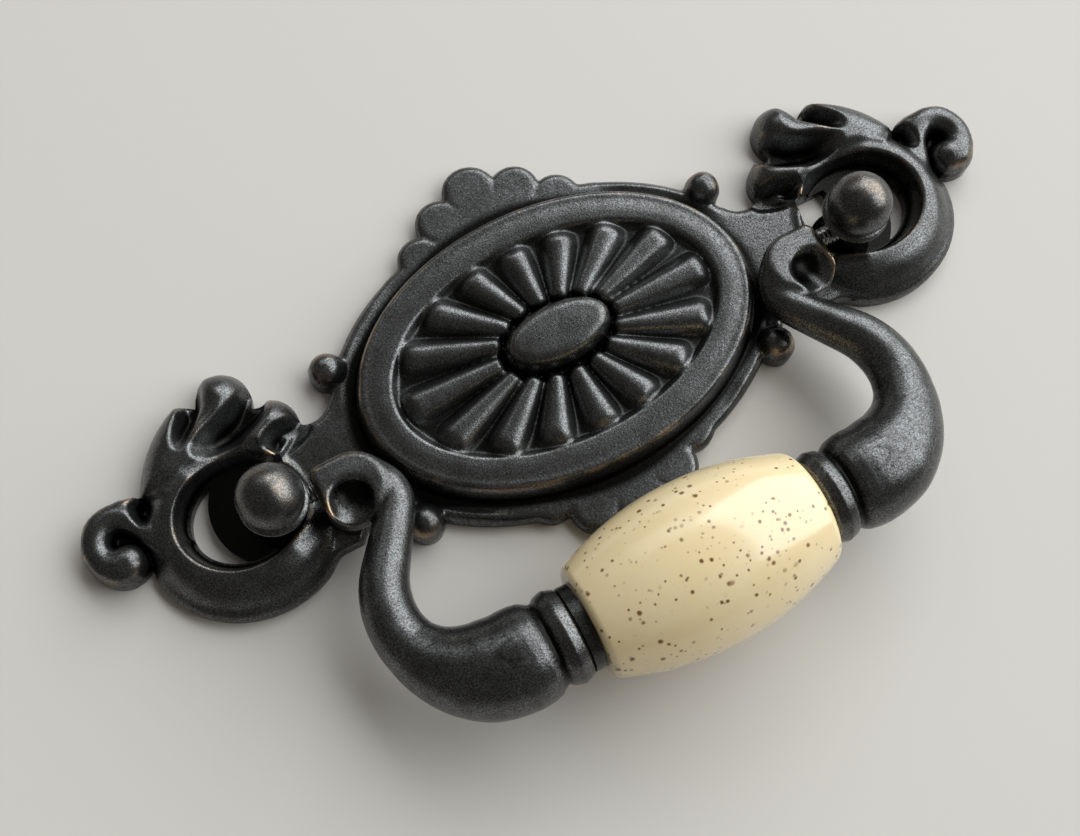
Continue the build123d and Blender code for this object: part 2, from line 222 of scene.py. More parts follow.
def arc_points(start, middle, end, count):
    """Points along the circle arc from start through middle to end, without the end itself."""
    (ax, ay), (bx, by), (cx, cy) = start, middle, end
    d = 2 * (ax * (by - cy) + bx * (cy - ay) + cx * (ay - by))
    a2, b2, c2 = ax * ax + ay * ay, bx * bx + by * by, cx * cx + cy * cy
    ux = (a2 * (by - cy) + b2 * (cy - ay) + c2 * (ay - by)) / d
    uy = (a2 * (cx - bx) + b2 * (ax - cx) + c2 * (bx - ax)) / d
    angles = np.unwrap(np.arctan2([ay - uy, by - uy, cy - uy], [ax - ux, bx - ux, cx - ux]))
    turn = np.linspace(angles[0], angles[2], count, endpoint=False)
    radius = np.hypot(ax - ux, ay - uy)
    return np.column_stack([ux + radius * np.cos(turn), uy + radius * np.sin(turn)])


def polygon_depth(x, y, corners):
    """Depth inside a closed polygon: distance to its nearest side, positive inside by the even-odd rule."""
    nearest = np.full(x.shape, 1e9)
    inside = np.zeros(x.shape, bool)
    for (ax, ay), (bx, by) in zip(corners, np.roll(corners, -1, axis=0)):
        ex, ey = bx - ax, by - ay
        along = np.clip(((x - ax) * ex + (y - ay) * ey) / (ex * ex + ey * ey + 1e-12), 0, 1)
        nearest = np.minimum(nearest, (x - ax - along * ex) ** 2 + (y - ay - along * ey) ** 2)
        crosses = (ay > y) != (by > y)
        inside ^= crosses & (x < ex * (y - ay) / (ey if ey else 1e-12) + ax)
    return np.where(inside, 1, -1) * np.sqrt(nearest)


def blur(field, sigma, step):
    """Gaussian blur of an array on a grid of the given step, by its Fourier transform."""
    rates = np.meshgrid(*[np.fft.fftfreq(n, step) for n in field.shape], indexing="ij")
    kernel = np.exp(-2 * (np.pi * sigma) ** 2 * sum(r * r for r in rates))
    return np.fft.ifftn(np.fft.fftn(field) * kernel).real


def scroll_profile(x, y):
    """Height of the scroll's crest and width of its band, read between the stations by the direction from its
    middle; the band swells below by the sine of that direction."""
    u = (x - scroll_center[0]) / scroll_half[0]
    v = (y - scroll_center[1]) / scroll_half[1]
    directions, crests, widths = np.transpose(scroll_stations)
    turn = np.degrees(np.arctan2(v, u))
    turn = np.where(turn < directions[0], turn + 360, turn)
    crest = np.interp(turn, directions, crests)
    width = np.interp(turn, directions, widths) + scroll_belly * np.clip(-np.sin(np.radians(turn)), 0, 1)
    return crest, width


def curl_field(x, y):
    """Height of the curl, a round tube that swells to a bulb as it winds in, and depth inside its outline."""
    height = np.full(x.shape, far_below)
    depth = disc_depth(x, y, curl_center, curl_floor_radius)
    for px, py, radius in np.vstack([smooth_path(curl_line, 90), smooth_path(curl_shoulder, 20)]):
        gap = np.hypot(x - px, y - py)
        depth = np.maximum(depth, radius - gap)
        dome = curl_axis_height + np.sqrt(np.clip(radius**2 - gap**2, 0, None))
        height = np.maximum(height, np.where(gap < radius, dome, far_below))
    return height, depth


def plate_outline(x, y):
    """Depth inside the plate's outer outline, before any hole, as a soft union of flat shapes, and depth inside
    the leaf alone."""
    depth = ellipse_depth(x, y, oval_center, oval_half)
    for side, drop in ((1, 0), (-1, lower_crest_drop)):
        for across, reach, radius in crest_lobes:
            lobe = disc_depth(x, y, (across, oval_height + side * (reach - drop)), radius)
            depth = soft_max(depth, lobe, tight_fillet)
    left, right, low, high = neck_box
    neck = np.minimum(np.minimum(x - left, right - x), np.minimum(y - low, high - y))
    depth = soft_max(depth, neck, wide_fillet)
    for valley in valleys:
        depth = np.minimum(depth, -disc_depth(x, y, valley, valley_radius))
    leaf = np.vstack([arc_points(*arc, 14) for arc in leaf_arcs] + [[leaf_arcs[-1][2], scroll_center]])
    in_leaf = polygon_depth(x, y, leaf)
    depth = soft_max(depth, in_leaf, fillet)
    outside = -ellipse_depth(x, y, scroll_center, scroll_half)
    depth = soft_max(depth, scroll_profile(x, y)[1] - outside, wide_fillet)
    depth = soft_max(depth, curl_field(x, y)[1], fillet)
    for finial in finials:
        depth = soft_max(depth, disc_depth(x, y, finial, finial_radius), fillet)
    return depth, in_leaf


def medallion(x, y):
    """Height of the medallion: a canted rim with a thin lip, a field that rises inwards, petals and the boss.
    A petal's top falls by powers of the way out from its middle line and past its tip and its root."""
    into_rim = ellipse_depth(x, y, oval_center, rim_half)
    lip = rim_lip_height * np.exp(-(((into_rim - rim_lip_inset) / rim_lip_width) ** 2))
    cant = rim_cant * np.clip(1 - into_rim / rim_cant_width, 0, 1)
    height = rim_height + lip - cant - edge_drop(into_rim, rim_edge_round)
    for start, end, drop in (rim_dish, rim_wall):
        inward = np.clip((into_rim - start) / (end - start), 0, 1)
        height = height - drop * inward**2 * (3 - 2 * inward)
    outward = np.hypot(x / petal_reach[0], (y - oval_height) / petal_reach[1])
    field = field_heights[1] + (field_heights[0] - field_heights[1]) * np.clip(outward, 0, field_reach)
    height = soft_max(height, np.where(into_rim > field_inset, field, far_below), fillet)
    # The petals' tips are spaced evenly along their oval
    turn = np.linspace(0, 2 * np.pi, 2001)
    oval = np.column_stack([petal_reach[0] * np.cos(turn), petal_reach[1] * np.sin(turn)])
    walked = np.append(0, np.cumsum(np.hypot(*np.diff(oval, axis=0).T)))
    tip_turns = np.interp(np.arange(petal_count) / petal_count * walked[-1], walked, turn)
    for tip_turn in tip_turns:
        heading = np.array([np.cos(tip_turn), np.sin(tip_turn)])
        tip = heading * petal_reach
        root = heading * petal_root
        length = np.hypot(*(tip - root))
        forward = (tip - root) / length
        along = (x - root[0]) * forward[0] + (y - oval_height - root[1]) * forward[1]
        aside = (y - oval_height - root[1]) * forward[0] - (x - root[0]) * forward[1]
        share = np.clip(along / length, 0, 1)
        width = petal_half_widths[0] + (petal_half_widths[1] - petal_half_widths[0]) * share
        end = np.clip((along - length + petal_tip_round) / petal_tip_round, 0, None)
        start = np.clip((petal_root_round - along) / petal_root_round, 0, None)
        spread = np.abs(aside / width) ** petal_side_power + end**petal_tip_power + start**petal_root_power
        top = petal_heights[0] + (petal_heights[1] - petal_heights[0]) * share
        height = soft_max(height, top - (petal_flank_drop + petal_flank_share * width) * spread, tight_fillet)
    into_boss = ellipse_depth(x, y, oval_center, boss_half)
    crown = boss_crown * np.clip(into_boss / boss_half[1], 0, 1)
    boss = boss_height - edge_drop(into_boss, boss_edge_round) + crown
    return soft_max(height, boss, tight_fillet)


def plate_face(x, y):
    """Height of the whole face and depth inside the pierced outline."""
    outline, in_leaf = plate_outline(x, y)
    outside = -ellipse_depth(x, y, scroll_center, scroll_half)
    opening = ellipse_depth(x, y, scroll_center, np.subtract(scroll_half, scroll_ledge))
    crescent = np.minimum(opening, -disc_depth(x, y, floor_disc[:2], floor_disc[2]))
    window_across = window_half[0] - np.abs(x - window_middle[0])
    window_up = window_half[1] - np.abs(y - window_middle[1])
    window = np.minimum(np.minimum(window_across, window_up), -disc_depth(x, y, (post_x, 0), seat_radius))
    pierced = np.minimum(outline, -np.maximum(crescent, window))
    pierced = np.minimum(pierced, -disc_depth(x, y, (post_x, 0), spigot_hole_radius))
    # Flat body, lower on the scroll's floor and in the curl
    level = np.where(outside < 0, floor_height, plate_thickness)
    level = np.where(disc_depth(x, y, curl_center, curl_level_radius) > 0, curl_floor_height, level)
    height = level - np.minimum(edge_drop(outline, plate_edge_round), plate_edge_round)
    # A thin roll along the oval's edge, where it isn't covered by a crest or a neck
    roll = np.exp(-(((ellipse_depth(x, y, oval_center, oval_half) - roll_inset) / roll_width) ** 2))
    roll = roll * np.clip((np.abs(x) - roll_ends[0]) / roll_fade, 0, 1)
    roll = roll * np.clip((roll_ends[1] - np.abs(x)) / roll_fade, 0, 1)
    height = height + roll_height * roll * np.clip((roll_margin - outline) / roll_margin_fade, 0, 1)
    # Scroll: a steep wall inside, its crest along the edge of the opening and a convex fall to the outline
    crest, width = scroll_profile(x, y)
    fall = np.clip((outside - scroll_flat) / (width - scroll_flat), 0, 1)
    band = np.where(outside < 0, crest * (1 + outside), crest - (crest - scroll_edge_height) * fall**2)
    band = np.where(outside < width, band, far_below)
    height = soft_max(height, band, wide_fillet)
    # Leaf: swollen from its outline, then hollowed between its lobes; one hollow parts it from the curl
    swell = np.sqrt(1 - (1 - np.clip(outline / leaf_edge_round, 0, 1)) ** 2)
    swell = np.minimum(scroll_edge_height + leaf_swell * swell, leaf_foot_height + outside)
    swell = np.where((in_leaf > -leaf_margin) & (outside > leaf_foot_inset), swell, far_below)
    flank = scroll_edge_height + leaf_slope * np.clip(in_leaf + leaf_margin, 0, 1)
    height = soft_max(height, np.minimum(swell, flank), leaf_fillet)
    height = soft_max(height, curl_field(x, y)[0], fillet)
    for hollow in leaf_hollows:
        carved = hollow_field(x, y, smooth_path(hollow, 30))
        carved = carved * np.clip((outside - leaf_hollow_inset) / leaf_hollow_fade, 0, 1)
        height = np.maximum(height - carved, np.minimum(height, leaf_hollow_floor))
    # Finials, and the medallion averaged over nine places in each grid cell
    for finial in finials:
        gap = np.hypot(x - finial[0], y - finial[1])
        dome = finial_radius + np.sqrt(np.clip(finial_radius**2 - gap**2, 0, None))
        height = soft_max(height, np.where(gap < finial_radius, dome, far_below), fillet)
    thirds = (-grid_step / 3, 0, grid_step / 3)
    middle = np.mean([medallion(x + dx, y + dy) for dx in thirds for dy in thirds], axis=0)
    into_rim = ellipse_depth(x, y, oval_center, rim_half)
    height = np.where(into_rim > -rim_skirt, soft_max(height, middle, wide_fillet), height)
    return height, pierced


def grid_sample(field, px, py):
    """Values of a grid field at free places, by bilinear steps between its nodes."""
    gx = np.clip((px - across[0]) / grid_step, 0, len(across) - 1.001)
    gy = np.clip((py - upward[0]) / grid_step, 0, len(upward) - 1.001)
    i, j = gx.astype(int), gy.astype(int)
    u, v = gx - i, gy - j
    low = field[j, i] * (1 - u) + field[j, i + 1] * u
    high = field[j + 1, i] * (1 - u) + field[j + 1, i + 1] * u
    return low * (1 - v) + high * v


face_blur = 0.2
half_across = np.arange(0, grid_reach, grid_step)
upward = np.arange(*grid_span, grid_step)
face, pierced = plate_face(*np.meshgrid(half_across, upward))
face = np.hstack([face[:, :0:-1], face])
pierced = np.hstack([pierced[:, :0:-1], pierced])
across = np.append(-half_across[:0:-1], half_across)
face = blur(face, face_blur, grid_step)

# Wear and painted shade: how far each place stands above its near surroundings, which rubs the metal, or lies
# below its wider ones, which paints shade there; the scroll's opening gets full painted shade
board_level = 0.3
edge_gain, edge_blur, edge_least = 1.5, 0.5, 0.15
recess_gain, recess_blur, recess_lift = 0.8, 2.6, 0.35
scroll_shade, scroll_shade_inset = -0.6, 0.35
wear_and_shade_blur = 0.25
ground = np.where(pierced > 0, face, board_level)
relief_and_shade = edge_gain * (ground - blur(ground, edge_blur, grid_step))
# Painted shade: places lower than their wider surroundings come out negative, darkening recesses
recess_shade = recess_gain * (ground - blur(ground, recess_blur, grid_step) + recess_lift)
relief_and_shade = np.minimum(relief_and_shade, np.where(relief_and_shade > edge_least, relief_and_shade, recess_shade))
# Painted shade over the whole opening of the scroll, its floor and inner walls
in_scroll = ellipse_depth(np.abs(across), upward[:, None], scroll_center, scroll_half) > scroll_shade_inset
relief_and_shade = blur(np.where(in_scroll, np.minimum(relief_and_shade, scroll_shade), relief_and_shade), wear_and_shade_blur, grid_step)

# Cells wholly inside the outline make the face; the vertices on its border then slide out to the outline
inside = pierced > 0
cells = inside[:-1, :-1] & inside[1:, :-1] & inside[:-1, 1:] & inside[1:, 1:]
rows, columns = np.nonzero(cells)
corner = rows * len(across) + columns
quads = np.column_stack([corner, corner + 1, corner + 1 + len(across), corner + len(across)])
used, quads = np.unique(quads, return_inverse=True)
quads = quads.reshape(-1, 4)
px, py = across[used % len(across)], upward[used // len(across)]
sides = np.vstack([quads[:, [k, (k + 1) % 4]] for k in range(4)])
keys = np.sort(sides, axis=1) @ [len(used), 1]
first, counts = np.unique(keys, return_index=True, return_counts=True)[1:]
border = sides[first[counts == 1]]
on_border = np.unique(border)
slope_y, slope_x = np.gradient(pierced, grid_step)
slide_share = 0.8
for _ in range(3):
    bx, by = px[on_border], py[on_border]
    gx, gy = grid_sample(slope_x, bx, by), grid_sample(slope_y, bx, by)
    step = slide_share * grid_sample(pierced, bx, by) / (gx**2 + gy**2 + 1e-6)
    px[on_border] -= np.clip(step * gx, -grid_step, grid_step)
    py[on_border] -= np.clip(step * gy, -grid_step, grid_step)
top = np.column_stack([px, py, grid_sample(face, px, py)])
# Each quad is split along its more level diagonal, so that slanting grooves and ridges stay straight
rise = np.abs(top[quads, 2] - top[np.roll(quads, -2, axis=1), 2])
split = np.where((rise[:, 0] <= rise[:, 1])[:, None], quads, np.roll(quads, -1, axis=1))
face_triangles = np.vstack([split[:, [0, 1, 2]], split[:, [0, 2, 3]]])

# Walls go straight down from the border to the back, which is triangulated round its holes and the hollow
foot_of = np.full(len(used), -1)
foot_of[on_border] = len(top) + np.arange(len(on_border))
foot = np.column_stack([px[on_border], py[on_border], np.zeros(len(on_border))])
walls = np.column_stack([border[:, 1], border[:, 0], foot_of[border[:, 0]], foot_of[border[:, 1]]])
turn = np.linspace(0, 2 * np.pi, back_hollow_sides, endpoint=False)
mouth = np.column_stack([
    back_hollow_half[0] * np.cos(turn),
    oval_height + back_hollow_half[1] * np.sin(turn),
    0 * turn,
])
roof = np.column_stack([
    (back_hollow_half[0] - back_hollow_draft) * np.cos(turn),
    oval_height + (back_hollow_half[1] - back_hollow_draft) * np.sin(turn),
    0 * turn + back_hollow_depth,
])
ring = np.arange(back_hollow_sides)
following = np.roll(ring, -1)
back_flat = np.vstack([foot, mouth])[:, :2]
back_edges = np.vstack([foot_of[border] - len(top), np.column_stack([ring, following]) + len(foot)])
flat, _, back_faces = delaunay_2d_cdt([Vector(p) for p in back_flat], back_edges.tolist(), [], 1, 1e-7)[:3]
back_faces = np.array(back_faces)
middles = np.array(flat)[back_faces].mean(axis=1)
kept = grid_sample(pierced, *middles.T) > 0
kept &= ellipse_depth(*middles.T, oval_center, back_hollow_half) < 0
back_faces = back_faces[kept][:, ::-1] + len(top)
mouth_at = len(top) + len(foot)
roof_at = mouth_at + len(mouth)
hollow_wall = np.column_stack([ring + mouth_at, following + mouth_at, following + roof_at, ring + roof_at])
plate_points = np.vstack([top, foot, mouth, roof, [[0, oval_height, back_hollow_depth]]]) * MM
roof_middle = np.full(back_hollow_sides, len(plate_points) - 1)
hollow_roof = np.column_stack([ring + roof_at, following + roof_at, roof_middle])
plate_faces = [*face_triangles.tolist(), *walls.tolist(), *back_faces.tolist()]
plate_faces += [*hollow_wall.tolist(), *hollow_roof.tolist()]


def make_piece(name, points, faces, wear_and_shade, smooth_angle=50):
    """A smooth-shaded mesh object with a point attribute that is positive on proud edges, where the metal is
    rubbed, and negative in recesses, where it paints shade.
    """
    mesh = bpy.data.meshes.new(name)
    mesh.from_pydata(points, [], faces)
    attribute = mesh.attributes.new("wear_and_shade", "FLOAT", "POINT")
    attribute.data.foreach_set("value", np.asarray(wear_and_shade, np.float32))
    mesh.shade_smooth()
    mesh.set_sharp_from_angle(angle=np.radians(smooth_angle))
    piece = bpy.data.objects.new(name, mesh)
    bpy.context.scene.collection.objects.link(piece)
    return piece


def new_material(name):
    """A fresh node material with its nodes, links and principled shader."""
    material = bpy.data.materials.new(name)
    material.use_nodes = True
    tree = material.node_tree
    return material, tree.nodes, tree.links, tree.nodes["Principled BSDF"]


def noise(nodes, links, scale, detail, roughness=0.6):
    """Noise in object space at a scale per metre, as a factor output."""
    node = nodes.new("ShaderNodeTexNoise")
    node.inputs["Scale"].default_value = scale
    node.inputs["Detail"].default_value = detail
    node.inputs["Roughness"].default_value = roughness
    place = nodes.new("ShaderNodeTexCoord")
    links.new(place.outputs["Object"], node.inputs["Vector"])
    return node.outputs["Fac"]


def ramp(nodes, links, value, low, high, to_low=0.0, to_high=1.0):
    """A value mapped smoothly from low..high to to_low..to_high."""
    node = nodes.new("ShaderNodeMapRange")
    node.interpolation_type = "SMOOTHSTEP"
    node.inputs["From Min"].default_value = low
    node.inputs["From Max"].default_value = high
    node.inputs["To Min"].default_value = to_low
    node.inputs["To Max"].default_value = to_high
    links.new(value, node.inputs["Value"])
    return node.outputs["Result"]


def times(nodes, links, a, b):
    """The product of two values."""
    node = nodes.new("ShaderNodeMath")
    node.operation = "MULTIPLY"
    links.new(a, node.inputs[0])
    links.new(b, node.inputs[1])
    return node.outputs["Value"]


def mix_color(nodes, links, factor, low, high):
    """A colour mixed by a factor; each end is a colour or another mix."""
    node = nodes.new("ShaderNodeMix")
    node.data_type = "RGBA"
    links.new(factor, node.inputs["Factor"])
    for value, name in ((low, "A"), (high, "B")):
        socket = [s for s in node.inputs if s.name == name and s.type == "RGBA"][0]
        if isinstance(value, tuple):
            socket.default_value = (*value, 1)
        else:
            links.new(value, socket)
    return [s for s in node.outputs if s.type == "RGBA"][0]


# Plating: fine grey speckle on black, clouded, with rubbed metal on proud edges and painted shade, near black,
# in the recesses
black_plating = (0.028, 0.0258, 0.0205)
grey_plating = (0.190, 0.195, 0.200)
rubbed_metal = (0.40, 0.285, 0.18)
painted_shade_black = (0.007, 0.0065, 0.006)
speckle_scale, cloud_scale, grain_scale = 5200, 300, 3800
speckle_range = (0.28, 0.72)
cloud_range, cloud_tones = (0.25, 0.65), (0.55, 1.0)
proud_range = (0.30, 1.10)
rubbed_patches = (0.40, 0.62)
painted_shade_range = (-0.05, -0.55)
sheen_range, sheen_roughness = (0.3, 0.7), (0.33, 0.25)
plating_metallic = 0.92
grain_strength = 0.28
grain_depth = 0.0001

cast_metal, nodes, links, shader = new_material("cast_metal")
wear_and_shade = nodes.new("ShaderNodeAttribute")
wear_and_shade.attribute_name = "wear_and_shade"
speckle = noise(nodes, links, speckle_scale, detail=3, roughness=0.7)
cloud = noise(nodes, links, cloud_scale, detail=3)
clouded = ramp(nodes, links, cloud, *cloud_range, *cloud_tones)
tone = times(nodes, links, ramp(nodes, links, speckle, *speckle_range), clouded)
plated = mix_color(nodes, links, tone, black_plating, grey_plating)
proud = ramp(nodes, links, wear_and_shade.outputs["Fac"], *proud_range)
rubbed = times(nodes, links, proud, ramp(nodes, links, cloud, *rubbed_patches))
color = mix_color(nodes, links, rubbed, plated, rubbed_metal)
# Painted shade: negative values darken recesses, the scroll's opening, the posts' necks and the rod towards
# near black
painted_shade = ramp(nodes, links, wear_and_shade.outputs["Fac"], *painted_shade_range)
color = mix_color(nodes, links, painted_shade, color, painted_shade_black)
links.new(color, shader.inputs["Base Color"])
shader.inputs["Metallic"].default_value = plating_metallic
links.new(ramp(nodes, links, speckle, *sheen_range, *sheen_roughness), shader.inputs["Roughness"])
bump = nodes.new("ShaderNodeBump")
bump.inputs["Strength"].default_value = grain_strength
bump.inputs["Distance"].default_value = grain_depth
links.new(noise(nodes, links, grain_scale, detail=3, roughness=0.65), bump.inputs["Height"])
links.new(bump.outputs["Normal"], shader.inputs["Normal"])

# Rubbed wear on proud places and painted shade in recesses, read onto the face's vertices
plate_wear_and_shade = np.append(grid_sample(relief_and_shade, top[:, 0], top[:, 1]), np.zeros(len(plate_points) - len(top)))
backplate = make_piece("backplate_casting", plate_points, plate_faces, plate_wear_and_shade)
backplate.data.materials.append(cast_metal)
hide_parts("backplate")
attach(backplate, "plate")

# Posts: turned and plated studs, a ball over a thin lip on a short neck, with a flange on the plate's floor.
# Each is held by a screw from behind, in the tapped hole in its spigot, and is bored across for a pivot pin.
# The profile is (radius, height) pairs; the wear and shade is (height, value) pairs, rubbing the lip and the
# ball's top and painting shade on the neck, the flange and the crease under the ball.
ball_radius = 3.8
ball_height = 12.0
ball_start = np.radians(-29)
pivot_height = 6.0
post_profile = (
    (0.0, 4.0), (1.65, 4.0), (1.65, 0.0), (2.9, 0.0), (2.9, 1.6), (3.7, 1.6), (3.62, 1.85), (2.7, 2.4),
    (2.4, 2.9), (2.4, 8.2), (2.7, 8.8), (3.5, 9.25), (3.85, 9.45), (3.97, 9.65), (3.88, 9.85), (3.5, 10.0),
    (3.2, 10.1),
)
post_wear_and_shade = ((0, -0.5), (8.2, -0.5), (9.2, 0.0), (9.65, 0.5), (10.2, -0.3), (11.5, 0.1), (15.8, 0.6))
post_spokes = 96
pin_bore_radius = 1.25
pin_bore_length = 8.2
pin_bore_offset = 2.7


def turned(profile, axis_point, axis, spokes):
    """A surface of revolution, as points and faces: (radius, place along the axis) pairs swept round it."""
    radii, places = np.array(profile, float).T
    axis = np.array(axis, float)
    side = np.cross(axis, (0.0, 1.0, 0.0) if abs(axis[1]) < 0.9 else (1.0, 0.0, 0.0))
    side /= np.linalg.norm(side)
    other = np.cross(axis, side)
    turn = np.linspace(0, 2 * np.pi, spokes, endpoint=False)
    spoke = np.cos(turn)[:, None] * side + np.sin(turn)[:, None] * other
    points = np.array(axis_point) + places[:, None, None] * axis + radii[:, None, None] * spoke
    i, j = np.meshgrid(np.arange(len(radii) - 1), np.arange(spokes), indexing="ij")
    k = (j + 1) % spokes
    faces = np.stack([i * spokes + j, i * spokes + k, (i + 1) * spokes + k, (i + 1) * spokes + j], axis=-1)
    return points.reshape(-1, 3), faces.reshape(-1, 4)


def close_poles(piece):
    """Joins the points that lie on one spot, at poles and seams, and turns the faces outward."""
    work = bmesh.new()
    work.from_mesh(piece.data)
    bmesh.ops.remove_doubles(work, verts=work.verts, dist=2e-6)
    bmesh.ops.recalc_face_normals(work, faces=work.faces)
    work.to_mesh(piece.data)
    work.free()


ball_turn = np.linspace(ball_start, np.pi / 2, 40)
ball = np.column_stack([ball_radius * np.cos(ball_turn), ball_height + ball_radius * np.sin(ball_turn)])
profile = np.vstack([post_profile, ball])
profile_wear_and_shade = np.interp(profile[:, 1], *np.transpose(post_wear_and_shade))
for side, node in ((-1, "left_post"), (1, "right_post")):
    points, faces = turned(profile, (side * post_x, 0, 0), (0, 0, 1), post_spokes)
    post = make_piece(node + "_stud", points * MM, faces.tolist(), np.repeat(profile_wear_and_shade, post_spokes))
    close_poles(post)
    bpy.ops.mesh.primitive_cylinder_add(vertices=48, radius=pin_bore_radius * MM, depth=pin_bore_length * MM)
    borer = bpy.context.object
    bore_middle = Vector((side * (post_x - pin_bore_offset), 0, pivot_height)) * MM
    borer.data.transform(Matrix.Translation(bore_middle) @ Matrix.Rotation(np.pi / 2, 4, "Y"))
    bore = post.modifiers.new("bore", "BOOLEAN")
    bore.object = borer
    bpy.context.view_layer.objects.active = post
    bpy.ops.object.modifier_apply(modifier="bore")
    bpy.data.objects.remove(borer)
    post.data.materials.append(cast_metal)
    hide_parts(node)
    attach(post, "plate")

# Pivot pins: short lengths of steel, ribbed all along, that the bail hangs from. They are pressed into the
# bail's knuckles and run in the posts' bores.
pin_radius = 1.2
pin_span = (30.2, 39.2)
pin_spokes = 40
rib_pitch = 0.55
rib_depth = 0.11
dark_steel = (0.10, 0.097, 0.093)
bright_steel = (0.30, 0.29, 0.275)
steel_cloud_scale = 900
steel_cloud_range = (0.35, 0.65)
steel_roughness = 0.28

steel, nodes, links, shader = new_material("steel")
cloud = ramp(nodes, links, noise(nodes, links, steel_cloud_scale, detail=3), *steel_cloud_range)
links.new(mix_color(nodes, links, cloud, dark_steel, bright_steel), shader.inputs["Base Color"])
shader.inputs["Metallic"].default_value = 1.0
shader.inputs["Roughness"].default_value = steel_roughness

along_pin = np.linspace(pin_span[0], pin_span[1], 140)
ribs = pin_radius - rib_depth * (0.5 + 0.5 * np.cos(2 * np.pi * (along_pin - pin_span[0]) / rib_pitch))
pin_profile = np.vstack([[0, pin_span[0]], np.column_stack([ribs, along_pin]), [0, pin_span[1]]])
for side, node in ((-1, "left_pivot_pin"), (1, "right_pivot_pin")):
    points, faces = turned(pin_profile, (0, 0, pivot_height), (side, 0, 0), pin_spokes)
    pin = make_piece(node + "_steel", points * MM, faces.tolist(), np.zeros(len(points)))
    close_poles(pin)
    pin.data.materials.append(steel)
    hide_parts(node)
    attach(pin, "bail")

# Bail arms: cast and plated like the backplate. A round tube swells towards the bead, where a groove sets off
# a collar, and thins upward until it hooks over a flat-sided knuckle with a round eye. They ride on the pins.
# They are drawn flat, about the pivot's axis, and then tilted so that the bead lies at its height.
bail_drop = 28.3
bead_height = 9.6
tilt = np.arcsin((bead_height - pivot_height) / bail_drop)
arm_voxel = 0.2
arm_low = (12.5, -37.0, -8.8)
arm_high = (37.6, 5.2, 8.8)
skin_reach = 3
collar_profile = (
    (15.1, 4.5), (15.5, 5.1), (16.7, 5.55), (17.8, 5.25), (18.4, 4.75), (18.8, 4.95), (19.6, 5.5),
    (20.8, 5.75), (22.0, 5.8),
)
collar_scale = 0.85
bend_center = (22.0, -18.1)
bend_radius = 10.2
crook_center = (29.4, -4.3)
crook_radius = 3.8
crook_end = 70.0
arm_radii = (5.8, 5.6, 4.9, 4.1, 3.45, 3.15, 3.0, 2.8, 2.6, 2.4, 2.15, 1.95, 1.85, 1.8)
# Knuckle: corner radii on its inner side, at its outer top and at its outer foot
knuckle_low = (25.3, -6.2)
knuckle_high = (33.4, 2.0)
knuckle_half_depth = 2.4
knuckle_corners = (4.0, 1.4, 3.0)
knuckle_edge_round = 1.0
knuckle_fillet = 0.9
eye_ends = ((30.2, -3.7), (30.8, -5.6))
eye_lift = 2.9
eye_radius = 2.6
eye_fillet = 0.5
arm_wear_and_shade_blur = 0.9
arm_wear_and_shade_level = 0.12
arm_wear_and_shade_gain = 2.2


def arm_path():
    """Centre line of an arm in the bail's plane, with its radii: the bend, a straight stretch tangent to both
    arcs, the crook."""
    gap = np.subtract(crook_center, bend_center)
    climb = np.arctan2(gap[1], gap[0]) + np.arcsin((bend_radius + crook_radius) / np.hypot(*gap))
    bend = np.linspace(-np.pi / 2, climb - np.pi / 2, 60)
    hook = np.linspace(climb + np.pi / 2, np.radians(crook_end), 60)
    line = np.vstack([
        np.column_stack([np.cos(bend), np.sin(bend)]) * bend_radius + bend_center,
        np.column_stack([np.cos(hook), np.sin(hook)]) * crook_radius + crook_center,
    ])
    walked = np.append(0, np.cumsum(np.hypot(*np.diff(line, axis=0).T)))
    even = np.linspace(0, walked[-1], 150)
    radius = np.interp(even, np.linspace(0, walked[-1], len(arm_radii)), arm_radii)
    return np.interp(even, walked, line[:, 0]), np.interp(even, walked, line[:, 1]), radius


def slab_distance(first, second):
    """Distance to the corner where two faces meet, from the distances to both."""
    return np.minimum(np.maximum(first, second), 0) + np.hypot(np.maximum(first, 0), np.maximum(second, 0))


def arm_distance(u, v, w):
    """Distance to the arm's skin: balls strung along its line, the collar turned about the bead's axis and the
    knuckle, a slab with rounded corners, in one soft union, less the eye."""
    distance = np.full(u.shape, 99.0, np.float32)
    flat = w * w
    for px, py, radius in zip(*arm_path()):
        distance = np.minimum(distance, np.sqrt((u - px) ** 2 + (v - py) ** 2 + flat) - radius)
    place, size = np.array(collar_profile).T
    collar = (np.hypot(v + bail_drop, w) - np.interp(u, place, size)) * collar_scale
    collar = np.maximum(np.maximum(collar, place[0] - u), u - place[-1])
    distance = np.minimum(distance, collar)
    middle = np.add(knuckle_low, knuckle_high) / 2
    half = np.subtract(knuckle_high, knuckle_low) / 2
    du, dv = u - middle[0], v - middle[1]
    inner, outer_top, outer_foot = knuckle_corners
    corner = np.where(du < 0, inner, np.where(dv > 0, outer_top, outer_foot))
    side = slab_distance(np.abs(du) - half[0] + corner, np.abs(dv) - half[1] + corner) - corner
    edge = knuckle_edge_round
    knuckle = slab_distance(side + edge, np.abs(w) - knuckle_half_depth + edge) - edge
    distance = -soft_max(-distance, -knuckle, knuckle_fillet)
    (au, av), (bu, bv) = eye_ends
    share = ((u - au) * (bu - au) + (v - av) * (bv - av)) / ((bu - au) ** 2 + (bv - av) ** 2)
    share = np.clip(share, 0, 1)
    off_u, off_v = u - au - share * (bu - au), v - av - share * (bv - av)
    eye = eye_radius - np.sqrt(off_u**2 + off_v**2 + (w - eye_lift) ** 2)
    return soft_max(distance, eye, eye_fillet)


